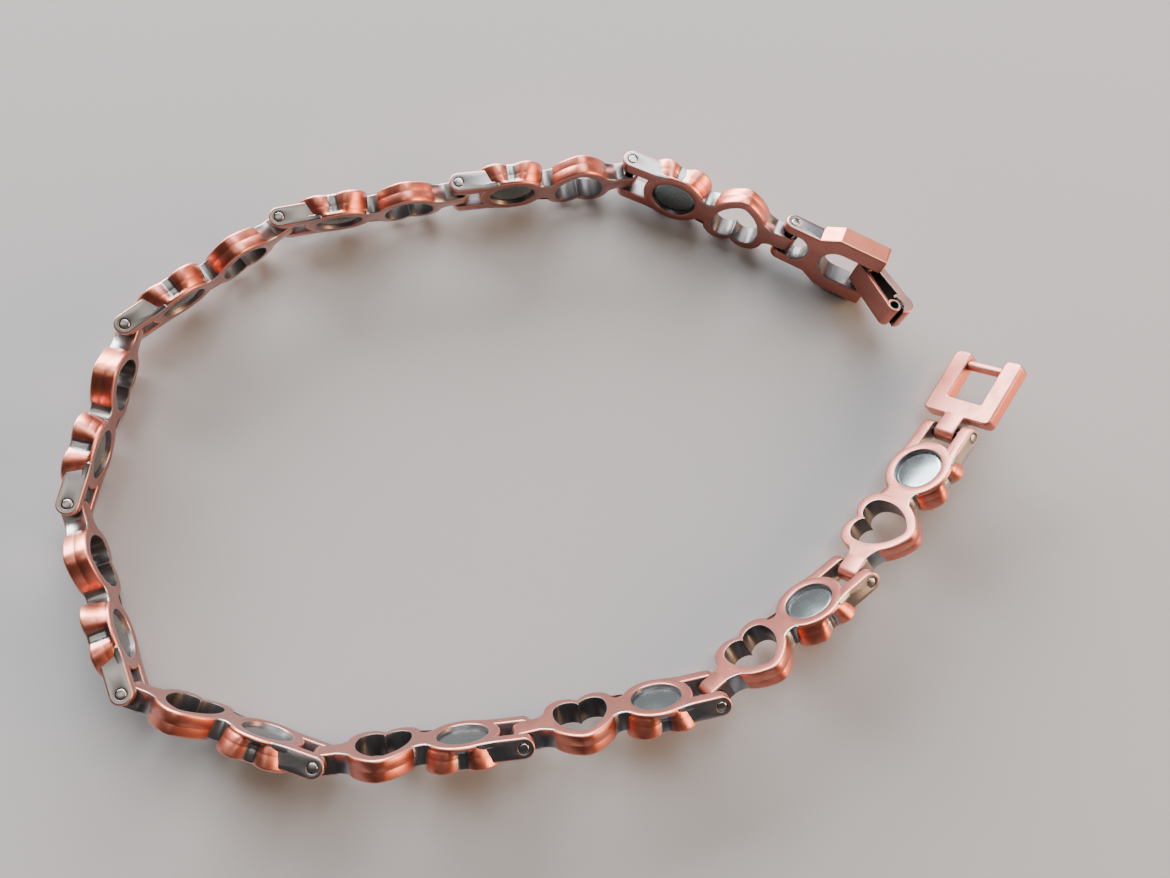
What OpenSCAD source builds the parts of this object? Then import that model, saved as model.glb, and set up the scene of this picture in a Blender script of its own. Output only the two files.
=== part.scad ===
// Magnetic link bracelet, lying unclasped on its edge in an open loop.
// Every link is ears, a round magnet seat, a neck, an open heart and a tongue.
// The origin is the middle of the bracelet's footprint, with the surface it lies on at z = 0.

/* [Magnet seat] */
// Diameter of the seat's round face
seat_d = 5.8; // [5:0.1:7]
// Thickness of the seat, face to back
seat_t = 2.05; // [1.7:0.05:2.6]
// Height of the straight rim round the seat's face
rim_h = 0.3; // [0.2:0.05:0.5]
// Radius of the four petals at the back of the seat
petal_r = 1.5; // [1.3:0.05:1.7]
// How far the notch between two petals goes in
petal_notch = 0.45; // [0.3:0.05:1]
// How far the petals reach at the back, from the middle of the seat
petal_reach = 3.42; // [3.2:0.02:3.5]
// Diameter of the round magnet's pocket
pocket_d = 4; // [3:0.1:4.4]
// Depth of the magnet's pocket
pocket_depth = 1.4; // [1:0.05:1.5]

/* [Magnet] */
// Gap around the magnet in its pocket
magnet_gap = 0.04; // [0.02:0.01:0.08]
// Thickness of the magnet at its rim
magnet_t = 1.05; // [0.8:0.05:1.2]
// Height of the magnet's shallow dome
magnet_dome = 0.15; // [0.05:0.05:0.2]

/* [Heart] */
// Thickness of the heart, face to back
heart_t = 1.8; // [1.7:0.05:2.05]
// Length of the heart along the bracelet
heart_l = 5.8; // [5:0.1:7]
// Width of the heart from its lobes to its tip
heart_w = 6.4; // [6:0.05:6.8]
// Distance from the link's middle line to the edge of the lobes
lobe_reach = 3; // [2.9:0.05:3.2]
// Radius of the heart's bowed flanks
flank_r = 4.4; // [4:0.1:6]
// Wall of the heart around its opening
heart_wall = 0.82; // [0.6:0.02:1]
// Radius of the heart's rounded tip
heart_tip_r = 1.3; // [1.1:0.05:1.5]
// Radius of the opening's tip
hole_tip_r = 0.7; // [0.5:0.05:0.9]
// Length of the neck between the seat and the heart
neck_l = 0.3; // [0.2:0.05:0.8]
// Width of the neck
neck_w = 2.2; // [1.8:0.1:2.6]

/* [Hinge] */
// Thickness of the ears and the tongue, face to back
ear_t = 1.7; // [1.6:0.05:1.9]
// Width of one ear across the bracelet
ear_w = 1.05; // [0.9:0.05:1.3]
// Width of the tongue between the ears
tongue_w = 1.9; // [1.7:0.05:2.1]
// Gap on each side of the tongue, which lets the links twist
tongue_gap = 0.42; // [0.38:0.02:0.6]
// Distance from the pin to the seat behind the ears
ear_l = 1.7; // [1.5:0.05:2.2]
// Distance from the heart to the pin
tongue_l = 1.85; // [1.6:0.05:2.4]
// Diameter of the hinge pins
pin_d = 0.8; // [0.7:0.02:0.84]
// Gap around a pin in the ears
pin_fit = 0.02; // [0.01:0.01:0.04]
// Gap around the pin in the tongue, which lets the links twist
swivel_gap = 0.25; // [0.22:0.01:0.27]

/* [Ladder end] */
// Width of the flat ladder frame
ladder_w = 6.6; // [6:0.1:7.4]
// Thickness of the ladder frame
ladder_t = 1.35; // [1.1:0.05:1.6]
// Width of the window across the bracelet
window_w = 3.3; // [3.1:0.1:3.8]
// Length of the window along the bracelet
window_l = 3.1; // [2.6:0.1:4]
// Width of the bar between the tongue and the window
base_bar_w = 1.65; // [1.2:0.05:2.2]
// Diameter of the round catch bar that the clasp takes
catch_d = 0.9; // [0.7:0.05:1]
// How far the side bars run on past the catch bar
side_bar_over = 0.5; // [0.3:0.05:1]
// Distance from the pin to the ladder frame
ladder_tongue_l = 1.42; // [1.3:0.02:2]
// Corner radius of the ladder frame
ladder_corner_r = 0.5; // [0.3:0.05:0.6]

/* [Clasp body] */
// Width of the clasp body
clasp_w = 6.1; // [5.8:0.1:7]
// Thickness of the clasp body
clasp_t = 2; // [1.8:0.05:2.4]
// Width of one ear of the clasp body
clasp_ear_w = 0.85; // [0.7:0.05:1.1]
// Gap on each side of the last link's tongue
clasp_tongue_gap = 0.35; // [0.3:0.01:0.5]
// Distance from the pin to the end of the ears' slot
clasp_slot_l = 2.15; // [1.9:0.05:2.6]
// How far the clasp's straight ears run on past their slot
ear_run = 0.45; // [0.3:0.05:0.8]
// Wall between the slot and the opening
clasp_web = 1.4; // [1:0.05:2]
// Width of the opening between the two arms
opening_w = 3.1; // [3:0.05:3.4]
// Length of the opening to the ends of the arms
opening_l = 5.1; // [4.8:0.1:6]
// Length of the slanted flank beside the slot's end
flank_l = 1.6; // [1:0.1:2]
// Corner radius at the ends of the arms
arm_corner_r = 0.3; // [0.2:0.05:0.5]

/* [Clasp lever] */
// Width of the lever
lever_w = 2.3; // [2:0.05:2.5]
// Radius of the lever's knuckle around its pin
knuckle_r = 0.75; // [0.7:0.05:0.8]
// Distance from the lever's pin to the ends of the arms
pivot_inset = 1.2; // [1.1:0.05:1.5]
// Running gap around the pin in the lever
lever_fit = 0.03; // [0.02:0.01:0.05]
// Thickness of the lever's flat plate
plate_t = 0.4; // [0.3:0.05:0.45]
// How far the plate's lip runs on past the pin
lip_reach = 0.5; // [0.4:0.05:0.7]
// Thickness of the lip
lip_t = 0.5; // [0.45:0.01:0.6]
// Distance from the pin to the middle of the plate's curled end
curl_reach = 4.6; // [4.5:0.05:5]
// Radius of the round eye inside the curled end
eye_r = 0.38; // [0.3:0.02:0.45]
// Wall of the curled end
curl_wall = 0.25; // [0.2:0.01:0.3]
// Gap between the plate and the hook at the catch
hook_gap = 1.3; // [1.2:0.05:1.5]
// How much nearer to the plate the hook's leg begins
leg_rise = 0.5; // [0.2:0.05:0.6]
// Thickness of the hook's leg
hook_t = 0.8; // [0.7:0.05:1]
// Distance from the pin to the middle of the hook's end
hook_reach = 4.7; // [4.5:0.05:4.8]
// Radius of the hook's thick round end
hook_end_r = 1.02; // [0.9:0.02:1.1]
// Slit between the hook's end and the curl, where the catch bar snaps in
snap_gap = 0.12; // [0.08:0.01:0.2]
// Angle from the body to the lever as it lies open
lever_open = 40; // [20:1:60]

/* [Hidden] */
$fn = 48;

// Columns of the route: plan heading of the piece and lean of its face, in degrees.
// Lean 0 stands on edge with its face to the wrist, and lean 90 lies with its face up.
HEADING = 0;
LEAN = 1;
ROUTE = [
    [-110, 38], [-124, 29], [-150, 24], [-156, 16], [-181, 6], [-230, -6],
    [-262, -12], [-302, -17], [-329, -15], [-333, -7], [-364, 5]
];
LADDER_ROUTE = [-104, 40];
CLASP_ROUTE = [-368, 15];
// Slope of the ladder frame down to its pin
LADDER_SLOPE = -10;
// Plan place of the first link's pin
START = [33.09, 13.69];
// Lift that brings the lowest point of the bracelet to the surface
LIFT = 0.08;

LINKS = len(ROUTE);
// How far the cuts run on past a face
CUT = 0.5;
// How far the neck runs on into the seat and into the heart
ROOT = 0.6;
// How far the petals' upper ends stay inside the round rim
PETAL_INSET = 0.06;
// How far a heart's bowed flank stays inside the arcs it joins, so that they cross cleanly
FLANK_INSET = 0.002;
// How far the leg's end stays inside the hook's round end
LEG_INSET = 0.08;

face_z = ear_t / 2;
back_z = face_z - seat_t;
seat_r = seat_d / 2;
seat_x = ear_l + seat_r;
heart_x = seat_x + seat_r + neck_l + heart_l / 2;
pitch = heart_x + heart_l / 2 + tongue_l;
slot_w = tongue_w + 2 * tongue_gap;
ears_w = slot_w + 2 * ear_w;
half_w = max(seat_r, lobe_reach);
ear_bore_r = pin_d / 2 + pin_fit;
tongue_bore_r = pin_d / 2 + swivel_gap;

clasp_slot_w = tongue_w + 2 * clasp_tongue_gap;
clasp_ears_w = clasp_slot_w + 2 * clasp_ear_w;
opening_x = clasp_slot_l + clasp_web;
arm_end_x = opening_x + opening_l;
pivot_x = arm_end_x - pivot_inset;
pivot_z = face_z - clasp_t / 2;
shoulder_x = clasp_slot_l + ear_run;

// Height of a piece's middle over the surface when it leans on its lower edge
function rest_h(lean) =
    half_w * cos(lean) + (lean > 0 ? -back_z * sin(lean) : -face_z * sin(lean));
function lean_at(i) = ROUTE[i][LEAN];
// Lean shared by the two pieces that meet at pin i
function meet_lean(i) =
    i == 0 ? lean_at(0) :
    i == LINKS ? (lean_at(LINKS - 1) + CLASP_ROUTE[LEAN]) / 2 :
    (lean_at(i - 1) + lean_at(i)) / 2;
function pin_h(i) = rest_h(meet_lean(i)) + LIFT;
function slope(i) = asin((pin_h(i + 1) - pin_h(i)) / pitch);
function step(i) =
    let (a = ROUTE[i][HEADING], s = slope(i))
    pitch * [cos(a) * cos(s), sin(a) * cos(s), sin(s)];
function pin_place(i) =
    i == 0 ? [START[0], START[1], pin_h(0)] : pin_place(i - 1) + step(i - 1);

// Puts a piece drawn along +X with its wrist face to +Z where the route says
module lay(place, route, rise) {
    translate(place) rotate([90 - route[LEAN], -rise, route[HEADING]]) children();
}

module lay_link(i) {
    lay(pin_place(i), ROUTE[i], slope(i)) children();
}

module lay_ladder() {
    lay(pin_place(0), LADDER_ROUTE, LADDER_SLOPE) children();
}

module lay_clasp() {
    lay(pin_place(LINKS), CLASP_ROUTE, 0) children();
}

// A round bar across the bracelet
module across(r, w) {
    rotate([90, 0, 0]) cylinder(r = r, h = w, center = true);
}

// A plate of even thickness with its wrist face at the links' wrist face
module plate(t) {
    translate([0, 0, face_z - t]) linear_extrude(t) children();
}

// Middle of the flank's arc, which runs smoothly into the lobe's and the tip's
function flank_middle(lobe, lobe_r, tip, tip_r, r) =
    let (
        v = tip - lobe,
        d = norm(v),
        to_lobe = r - lobe_r,
        to_tip = r - tip_r,
        along = (d * d + to_lobe * to_lobe - to_tip * to_tip) / (2 * d),
        aside = sqrt(to_lobe * to_lobe - along * along)
    )
    lobe + along * v / d + aside * [-v[1], v[0]] / d;

// A heart with round lobes towards -Y and its tip towards +Y
module heart_outline(l, lobe_y, tip_y, lobe_r, tip_r, bow_r) {
    lobe = [l / 2 - lobe_r, lobe_y + lobe_r];
    tip = [0, tip_y - tip_r];
    middle = flank_middle(lobe, lobe_r, tip, tip_r, bow_r);
    lobe_end = middle + bow_r * (lobe - middle) / norm(lobe - middle);
    tip_end = middle + bow_r * (tip - middle) / norm(tip - middle);
    for (side = [-1, 1]) translate([side * lobe[0], lobe[1]]) circle(lobe_r);
    translate(tip) circle(tip_r);
    translate([-lobe[0], lobe[1]]) square([2 * lobe[0], lobe_end[1] - lobe[1]]);
    intersection() {
        translate(middle) circle(bow_r - FLANK_INSET, $fn = 96);
        translate([-middle[0], middle[1]]) circle(bow_r - FLANK_INSET, $fn = 96);
        translate([-l / 2, lobe_end[1] - FLANK_INSET])
            square([l, tip_end[1] - lobe_end[1] + 2 * FLANK_INSET]);
    }
}

// Radius of a heart's lobes as a share of its length
LOBE_SHARE = 0.28;
HOLE_LOBE_SHARE = 0.258;

module heart() {
    wall = heart_wall;
    hole_l = heart_l - 2 * wall;
    top = heart_w - lobe_reach;
    plate(heart_t) difference() {
        heart_outline(heart_l, -lobe_reach, top, LOBE_SHARE * heart_l, heart_tip_r, flank_r);
        heart_outline(
            hole_l, wall - lobe_reach, top - wall, HOLE_LOBE_SHARE * hole_l, hole_tip_r,
            flank_r - wall
        );
    }
}

// The seat is a round disc at the wrist face on a four-petalled flower, which spreads to the back
module seat() {
    petal_at = seat_r - petal_r;
    flower_h = seat_t - rim_h / 2;
    translate([0, 0, back_z]) intersection() {
        union() {
            cylinder(r = seat_r - petal_notch, h = flower_h);
            for (x = [-1, 1], y = [-1, 1]) translate([x * petal_at, y * petal_at, 0])
                cylinder(r = petal_r, h = flower_h);
        }
        cylinder(r1 = petal_reach, r2 = seat_r - PETAL_INSET, h = flower_h);
    }
    translate([0, 0, face_z - rim_h]) cylinder(r = seat_r, h = rim_h);
}

module ears(w_out, w_slot, l) {
    ear = (w_out - w_slot) / 2;
    for (side = [-1, 1]) translate([0, side * (w_slot + ear) / 2, 0]) {
        across(ear_t / 2, ear);
        translate([l / 2, 0, 0]) cube([l, ear, ear_t], center = true);
    }
}

module tongue(l) {
    difference() {
        union() {
            across(ear_t / 2, tongue_w);
            translate([-l / 2, 0, 0]) cube([l, tongue_w, ear_t], center = true);
        }
        across(tongue_bore_r, tongue_w + CUT);
    }
}

module link_solid() {
    difference() {
        union() {
            ears(ears_w, slot_w, ear_l + seat_r / 2);
            translate([seat_x, 0, 0]) seat();
            translate([(seat_x + seat_r + heart_x - heart_l / 2) / 2, 0, 0])
                cube([neck_l + 2 * ROOT, neck_w, ear_t], center = true);
            translate([heart_x, 0, 0]) heart();
        }
        across(ear_bore_r, ears_w + CUT);
        translate([seat_x, 0, face_z - pocket_depth])
            cylinder(r = pocket_d / 2, h = pocket_depth + CUT);
    }
    translate([pitch, 0, 0]) tongue(tongue_l + heart_wall / 2);
}

// The link's seat, neck and heart in one colour of aged copper
module link(i) {
    color("lightsalmon") lay_link(i) link_solid();
}

module magnet(i) {
    r = pocket_d / 2 - magnet_gap;
    floor_z = face_z - pocket_depth + magnet_gap;
    dome_r = (r * r + magnet_dome * magnet_dome) / (2 * magnet_dome);
    color("slategray") lay_link(i) translate([seat_x, 0, floor_z]) intersection() {
        cylinder(r = r, h = magnet_t + magnet_dome);
        translate([0, 0, magnet_t + magnet_dome - dome_r]) sphere(dome_r, $fn = 96);
    }
}

// Pins 1 to 11 sit in the ears of their own link and pin 12 in the clasp body's
module pin(i) {
    color("dimgray")
        if (i < LINKS) lay_link(i) across(pin_d / 2, ears_w);
        else lay_clasp() across(pin_d / 2, clasp_ears_w);
}

// The outline of a bar from x = 0 with rounded corners
module soft_bar(l, w, r) {
    translate([r, -w / 2]) square([l - 2 * r, w]);
    translate([0, r - w / 2]) square([l, w - 2 * r]);
    for (x = [r, l - r], y = [r - w / 2, w / 2 - r]) translate([x, y]) circle(r);
}

// The ladder runs from its pin towards -X
module ladder_end() {
    frame_x = -ladder_tongue_l - base_bar_w - window_l;
    end_x = frame_x - catch_d - side_bar_over;
    side_w = (ladder_w - window_w) / 2;
    side_l = -ladder_tongue_l - end_x;
    color("salmon") lay_ladder() {
        tongue(ladder_tongue_l + base_bar_w / 2);
        translate([0, 0, -ladder_t / 2]) linear_extrude(ladder_t) {
            translate([frame_x + window_l, -ladder_w / 2 + ladder_corner_r])
                square([base_bar_w, ladder_w - 2 * ladder_corner_r]);
            for (side = [-1, 1]) translate([end_x, side * (ladder_w - side_w) / 2])
                soft_bar(side_l, side_w, ladder_corner_r);
        }
        translate([frame_x - catch_d / 2, 0, 0]) across(catch_d / 2, window_w + 2 * CUT);
    }
}

// The last stretch of a plate, whose two far corners are rounded
module soft_plate_end(l, w, r) {
    square([l - r, w]);
    translate([0, r]) square([l, w - 2 * r]);
    for (y = [r, w - r]) translate([l - r, y]) circle(r);
}

module clasp_body() {
    half = clasp_w / 2;
    ear_half = clasp_ears_w / 2;
    slot_r = clasp_slot_w / 2;
    open_r = opening_w / 2;
    color("sienna") lay_clasp() difference() {
        union() {
            ears(clasp_ears_w, clasp_slot_w, shoulder_x + CUT);
            translate([clasp_slot_l - slot_r, -ear_half, -ear_t / 2])
                cube([shoulder_x + slot_r - clasp_slot_l + CUT, 2 * ear_half, ear_t]);
            plate(clasp_t) {
                polygon([
                    [shoulder_x, -ear_half],
                    [shoulder_x + flank_l, -half],
                    [arm_end_x - arm_corner_r, -half],
                    [arm_end_x - arm_corner_r, half],
                    [shoulder_x + flank_l, half],
                    [shoulder_x, ear_half]
                ]);
                translate([pivot_x, -half])
                    soft_plate_end(arm_end_x - pivot_x, clasp_w, arm_corner_r);
            }
        }
        translate([clasp_slot_l - slot_r, 0, -clasp_t]) {
            cylinder(r = slot_r, h = 2 * clasp_t);
            translate([-clasp_slot_l, -slot_r, 0]) cube([clasp_slot_l, clasp_slot_w, 2 * clasp_t]);
        }
        translate([opening_x + open_r, 0, -clasp_t]) {
            cylinder(r = open_r, h = 2 * clasp_t);
            translate([0, -open_r, 0]) cube([opening_l + CUT, opening_w, 2 * clasp_t]);
        }
        across(ear_bore_r, clasp_ears_w + CUT);
        translate([pivot_x, 0, pivot_z]) across(ear_bore_r, clasp_w + CUT);
    }
}

module clasp_pin() {
    color("dimgray") lay_clasp() translate([pivot_x, 0, pivot_z]) across(pin_d / 2, clasp_w);
}

// Lever in profile: +X along the plate, +Y out through the plate's plain face
module lever_profile() {
    plate_y = knuckle_r - plate_t;
    curl_r = eye_r + curl_wall;
    curl = [curl_reach, knuckle_r - curl_r];
    hook_y = plate_y - hook_gap;
    hook_end = [hook_reach, hook_y - hook_t + hook_end_r];
    difference() {
        union() {
            circle(knuckle_r);
            translate([0, plate_y]) square([curl_reach, plate_t]);
            translate([lip_t / 2 - lip_reach, knuckle_r - lip_t]) square([lip_reach, lip_t]);
            translate([lip_t / 2 - lip_reach, knuckle_r - lip_t / 2]) circle(lip_t / 2);
            translate(curl) circle(curl_r);
            polygon([
                [-knuckle_r / 2, hook_y + leg_rise - hook_t],
                [hook_end[0], hook_y - hook_t + LEG_INSET],
                [hook_end[0], hook_y],
                [knuckle_r / 2, hook_y + leg_rise],
                [knuckle_r / 2, 0],
                [-knuckle_r / 2, 0]
            ]);
            difference() {
                translate(hook_end) circle(hook_end_r);
                translate(curl) circle(curl_r + snap_gap);
            }
        }
        translate(curl) circle(eye_r);
    }
}

module clasp_lever() {
    color("chocolate") lay_clasp() translate([pivot_x, 0, pivot_z]) rotate([0, -lever_open, 0])
        difference() {
            rotate([90, 0, 0]) linear_extrude(lever_w, center = true) lever_profile();
            across(pin_d / 2 + lever_fit, lever_w + CUT);
        }
}

link(0);  // link_01
link(1);  // link_02
link(2);  // link_03
link(3);  // link_04
link(4);  // link_05
link(5);  // link_06
link(6);  // link_07
link(7);  // link_08
link(8);  // link_09
link(9);  // link_10
link(10);  // link_11
magnet(0);  // magnet_01
magnet(1);  // magnet_02
magnet(2);  // magnet_03
magnet(3);  // magnet_04
magnet(4);  // magnet_05
magnet(5);  // magnet_06
magnet(6);  // magnet_07
magnet(7);  // magnet_08
magnet(8);  // magnet_09
magnet(9);  // magnet_10
magnet(10);  // magnet_11
pin(0);  // pin_01
pin(1);  // pin_02
pin(2);  // pin_03
pin(3);  // pin_04
pin(4);  // pin_05
pin(5);  // pin_06
pin(6);  // pin_07
pin(7);  // pin_08
pin(8);  // pin_09
pin(9);  // pin_10
pin(10);  // pin_11
pin(11);  // pin_12
ladder_end();
clasp_body();
clasp_pin();
clasp_lever();
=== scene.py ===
import bmesh
import bpy
import math
import numpy as np
from mathutils import Matrix, Vector


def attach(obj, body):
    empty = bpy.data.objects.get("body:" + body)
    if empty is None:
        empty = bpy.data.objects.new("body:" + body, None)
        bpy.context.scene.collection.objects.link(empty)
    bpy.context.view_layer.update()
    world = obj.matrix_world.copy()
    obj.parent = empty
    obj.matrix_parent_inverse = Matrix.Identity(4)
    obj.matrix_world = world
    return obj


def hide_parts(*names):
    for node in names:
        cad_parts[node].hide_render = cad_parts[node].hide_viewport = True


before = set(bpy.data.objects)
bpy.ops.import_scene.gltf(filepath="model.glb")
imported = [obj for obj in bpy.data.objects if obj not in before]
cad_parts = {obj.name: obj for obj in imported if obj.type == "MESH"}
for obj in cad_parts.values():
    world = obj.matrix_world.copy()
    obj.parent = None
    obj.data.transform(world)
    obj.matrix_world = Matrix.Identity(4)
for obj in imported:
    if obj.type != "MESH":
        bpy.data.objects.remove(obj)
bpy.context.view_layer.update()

# Camera
# A phone's wide lens held close above the bracelet, a little towards its near side and turned in the hand.
camera = bpy.data.objects.new("camera", bpy.data.cameras.new("camera"))
bpy.context.scene.collection.objects.link(camera)
bpy.context.scene.camera = camera
camera.data.sensor_fit = "HORIZONTAL"
camera.data.sensor_width = 36
camera.data.lens = 27.8
camera.data.clip_start = 0.002
camera.data.clip_end = 20
tilt, roll = math.radians(14), math.radians(18.3)
back = Vector((0, -math.sin(tilt), math.cos(tilt)))
level_up = Vector((0, math.cos(tilt), math.sin(tilt)))
right = math.cos(roll) * Vector((1, 0, 0)) + math.sin(roll) * level_up
up = math.cos(roll) * level_up - math.sin(roll) * Vector((1, 0, 0))
look_at = Vector((0.00309, 0.00369, 0.00008))
CAMERA_AWAY = 0.0795
place = Matrix((right, up, back)).transposed().to_4x4()
place.translation = look_at + CAMERA_AWAY * back
camera.matrix_world = place

# Floor and light
# A plain pale floor in a dim room: a big soft window and a skylight on the far side, a warm strip overhead,
# low warm light on the open end's side and a weak cool fill on the near side.
floor_mesh = bpy.data.meshes.new("floor")
FLOOR_HALF = 1.5
floor_corners = [(-1, -1), (1, -1), (1, 1), (-1, 1)]
floor_mesh.from_pydata([(x * FLOOR_HALF, y * FLOOR_HALF, 0) for x, y in floor_corners], [], [(0, 1, 2, 3)])
floor = bpy.data.objects.new("floor", floor_mesh)
UNDER_THE_LINKS = -0.000004
floor.location.z = UNDER_THE_LINKS
bpy.context.scene.collection.objects.link(floor)
floor_paint = bpy.data.materials.new("floor_paint")
floor_paint.use_nodes = True
paint = floor_paint.node_tree.nodes["Principled BSDF"]
paint.inputs["Base Color"].default_value = (0.36, 0.36, 0.365, 1)
paint.inputs["Roughness"].default_value = 0.9
paint.inputs["Specular IOR Level"].default_value = 0.2
floor_mesh.materials.append(floor_paint)


def soft_light(name, where, width, height, watts, tint):
    """A rectangular lamp that faces the bracelet from where it hangs."""
    lamp = bpy.data.lights.new(name, "AREA")
    lamp.shape = "RECTANGLE"
    lamp.size = width
    lamp.size_y = height
    lamp.energy = watts
    lamp.color = tint
    shade = bpy.data.objects.new(name, lamp)
    shade.location = where
    shade.rotation_mode = "QUATERNION"
    shade.rotation_quaternion = (Vector(where) - look_at).to_track_quat("Z", "Y")
    bpy.context.scene.collection.objects.link(shade)


soft_light("window", (-0.42, 0.54, 0.19), 0.95, 0.36, 26.0, (0.98, 0.985, 1.0))
soft_light("skylight", (0.02, 0.4, 0.56), 0.5, 0.42, 5.0, (0.95, 0.97, 1.0))
soft_light("warm_strip", (-0.12, -0.05, 0.6), 0.12, 0.3, 0.4, (1.0, 0.9, 0.74))
soft_light("evening_side", (0.6, 0.16, 0.24), 0.4, 0.3, 6.0, (1.0, 0.6, 0.34))
soft_light("low_fill", (0.35, -0.58, 0.2), 0.5, 0.2, 0.25, (0.96, 0.93, 1.0))
world = bpy.data.worlds.new("room")
world.use_nodes = True
world.node_tree.nodes["Background"].inputs["Color"].default_value = (0.62, 0.68, 0.76, 1)
world.node_tree.nodes["Background"].inputs["Strength"].default_value = 0.07
bpy.context.scene.world = world

# Links
# Eleven equal castings of aged copper: ears, a round seat with a petalled back, a neck, a heart and a tongue.
# Each is cast in one piece, tumbled until its edges are soft, darkened in a bath and rubbed bright by hand;
# its crevices and deep hollows carry a painted near-black shade.
# Sizes are in millimetres, along x from the link's own pin, and z is towards the wrist.
MM = 0.001
FACE_Z = 0.85
BACK_Z = -1.2
BACK_SOFT = 0.28
SEAT_X = 4.6
SEAT_R = 2.9
SEAT_CORE = 2.45
PETAL_OUT = 1.4
PETAL_R = 1.5
PETAL_FLARE = 0.52
FLARE_TOP = 0.7
PETAL_SOFT = 0.3
NOTCH_REACH = 2.7
RIM_START = 0.36
RIM_END = 0.62
HEART_X = 10.7
HEART_L = 5.8
HEART_BACK = -0.95
LOBES_Y = -3.0
TIP_Y = 3.4
HEART_WALL = 0.82
LOBE_SHARE = 0.28
TIP_R = 1.3
HOLE_LOBE_SHARE = 0.258
HOLE_TIP_R = 0.7
FLANK_R = 4.4
PITCH = 15.45
EAR_R = 0.85
SLOT_HALF = 1.37
EARS_HALF = 2.42
EAR_WEB_LOW = 0.3
TONGUE_HALF = 0.95
TONGUE_L = 1.85
POCKET_R = 2.0
POCKET_FLOOR = -0.55
BORE_R = 0.42
SWIVEL_R = 0.65
FACE_SOFT = 0.2
BAR_SOFT = 0.14
AROUND = 120

# How dark a surface is: 0 is bare copper, BATH the grey the bath left, and the highest level a painted
# near-black shade for deep hollows.
BATH = 1.0
HOLLOW_SHADE = 2.0


class Casting:
    """Gathers closed rings of points into one mesh, with how dark and how rubbed each ring is."""

    def __init__(self):
        self.points, self.faces, self.dark, self.edge = [], [], [], []

    def skin(self, rings, dark, edge, closed=False):
        """Joins each ring to the next, then the last to the first, or else shuts both ends."""
        start, count, total = len(self.points), len(rings[0]), len(rings)
        for ring, d, e in zip(rings, dark, edge):
            self.points += [tuple(p) for p in ring]
            self.dark += list(np.broadcast_to(d, count))
            self.edge += list(np.broadcast_to(e, count))
        for i in range(total if closed else total - 1):
            a, b = start + i * count, start + (i + 1) % total * count
            for k in range(count):
                n = (k + 1) % count
                self.faces.append((a + k, a + n, b + n, b + k))
        if not closed:
            for first in (start, start + (total - 1) * count):
                self.faces.append(tuple(range(first, first + count)))

    def mesh(self, name, material):
        """The mesh in metres, which carries both values on its points: how dark, which holds the bath's tone
        and painted shade, and how rubbed.
        """
        made = bpy.data.meshes.new(name)
        made.from_pydata([tuple(c * MM for c in p) for p in self.points], [], self.faces)
        made.attributes.new("dark", "FLOAT", "POINT").data.foreach_set("value", self.dark)
        made.attributes.new("edge", "FLOAT", "POINT").data.foreach_set("value", self.edge)
        work = bmesh.new()
        work.from_mesh(made)
        bmesh.ops.recalc_face_normals(work, faces=work.faces)
        work.to_mesh(made)
        work.free()
        made.shade_smooth()
        made.materials.append(material)
        return made


def shown(name, mesh, matrix, body, material_slot, *nodes):
    """Lays a finished piece in the place of its solid, on the same body."""
    piece = bpy.data.objects.new(name, mesh)
    bpy.context.scene.collection.objects.link(piece)
    piece.matrix_world = matrix
    flat = piece.modifiers.new("flat_faces_stay_flat", "WEIGHTED_NORMAL")
    flat.weight = 100
    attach(piece, body)
    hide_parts(*nodes)


def circle_of_ways(count):
    """Directions all the way round, anticlockwise from +x, each one unit long."""
    angles = np.arange(count) * math.tau / count
    return np.stack([np.cos(angles), np.sin(angles)], 1)


def star(middle, circles, polygons=()):
    """The outline of circles and polygons joined together, as seen from a point inside them."""
    middle = np.array(middle, float)
    way = circle_of_ways(AROUND)
    reach = np.zeros(AROUND)
    for x, y, r in circles:
        off = np.array([x, y]) - middle
        along = way @ off
        inside = along**2 - off @ off + r * r
        far = along + np.sqrt(np.maximum(inside, 0))
        reach = np.maximum(reach, np.where(inside > 0, far, 0))
    for polygon in polygons:
        corners = np.array(polygon, float) - middle
        for a, b in zip(corners, np.roll(corners, -1, 0)):
            edge = b - a
            cross = way[:, 0] * edge[1] - way[:, 1] * edge[0]
            cross = np.where(np.abs(cross) < 1e-9, 1e-9, cross)
            t = (a[0] * edge[1] - a[1] * edge[0]) / cross
            s = (a[0] * way[:, 1] - a[1] * way[:, 0]) / cross
            met = (t > 0) & (s >= -1e-6) & (s <= 1 + 1e-6)
            reach = np.maximum(reach, np.where(met, t, 0))
    return middle + reach[:, None] * way


def circle_line(middle, r, count=AROUND):
    return np.array(middle, float) + r * circle_of_ways(count)


def rounded(corners, radius, steps=5):
    """The polygon with every corner turned to a curve, as one dense line. It takes one radius or several."""
    corners = np.array(corners, float)
    radii = np.broadcast_to(radius, len(corners))
    line = []
    for k, (here, r) in enumerate(zip(corners, radii)):
        a, b = corners[k - 1] - here, corners[(k + 1) % len(corners)] - here
        la, lb = np.linalg.norm(a), np.linalg.norm(b)
        half = math.acos(max(-1, min(1, a @ b / la / lb))) / 2
        cut = min(r / math.tan(half), 0.45 * la, 0.45 * lb)
        first, last = here + a / la * cut, here + b / lb * cut
        for t in np.linspace(0, 1, steps + 1):
            line.append((1 - t) ** 2 * first + 2 * t * (1 - t) * here + t * t * last)
    return np.array(line)


def drawn_in(line, depth):
    """The outline, which runs anticlockwise, moved in by a depth."""
    run = np.roll(line, -1, 0) - line
    run /= np.maximum(np.linalg.norm(run, axis=1), 1e-9)[:, None]
    side = np.stack([run[:, 1], -run[:, 0]], 1)
    both = side + np.roll(side, 1, 0)
    return line - depth * both / np.maximum(np.linalg.norm(both, axis=1), 0.5)[:, None]


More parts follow.
